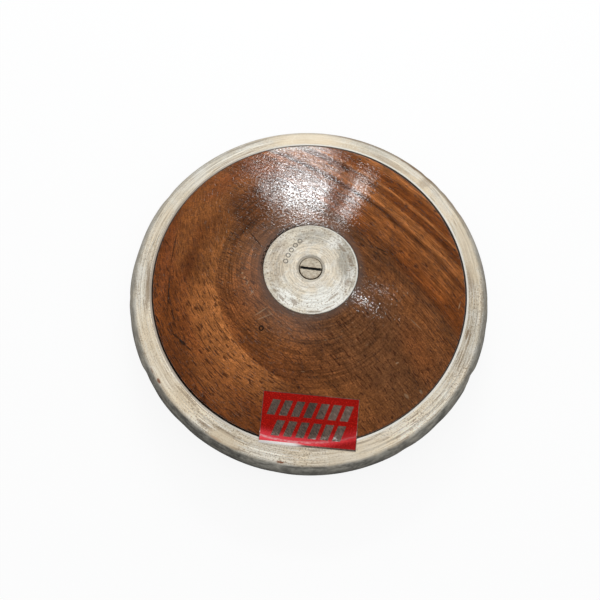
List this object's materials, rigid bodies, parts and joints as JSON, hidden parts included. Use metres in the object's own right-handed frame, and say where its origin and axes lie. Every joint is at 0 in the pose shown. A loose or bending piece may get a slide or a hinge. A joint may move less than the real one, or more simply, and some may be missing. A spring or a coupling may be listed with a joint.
{
  "type": "discus",
  "caption": "Throwing discus with a steel rim, turned hardwood sides, flush steel hub plates and a slotted centre bolt.",
  "frame": {"origin": "centre of the lower hub plate's face, which is the bottom centre of the part", "axes": "+Z along the centre bolt from the lower side to the upper side, -Y towards the label, +X to the right of the label"},
  "size_m": [0.22, 0.22, 0.045],
  "materials": {
    "rim_steel": "satin",
    "side_hardwood": "gloss",
    "plate_steel": "satin",
    "bolt_steel": "satin",
    "inner_steel": "matte",
    "peg_wood": "matte",
    "label_foil": "gloss"
  },
  "bodies": {
    "root": {"rim": "rim_steel", "upper_wood_side": "side_hardwood", "lower_wood_side": "side_hardwood", "upper_hub_plate": "plate_steel", "lower_hub_plate": "plate_steel", "centre_bolt": "bolt_steel", "barrel_nut": "bolt_steel", "hub_tube": "inner_steel", "upper_balance_washer_1": "inner_steel", "upper_balance_washer_2": "inner_steel", "lower_balance_washer_1": "inner_steel", "lower_balance_washer_2": "inner_steel", "rim_peg_1": "peg_wood", "rim_peg_2": "peg_wood", "rim_peg_3": "peg_wood", "rim_peg_4": "peg_wood", "rim_peg_5": "peg_wood", "rim_peg_6": "peg_wood", "rim_peg_7": "peg_wood", "rim_peg_8": "peg_wood", "label_foil": "label_foil"}
  },
  "joints": []
}
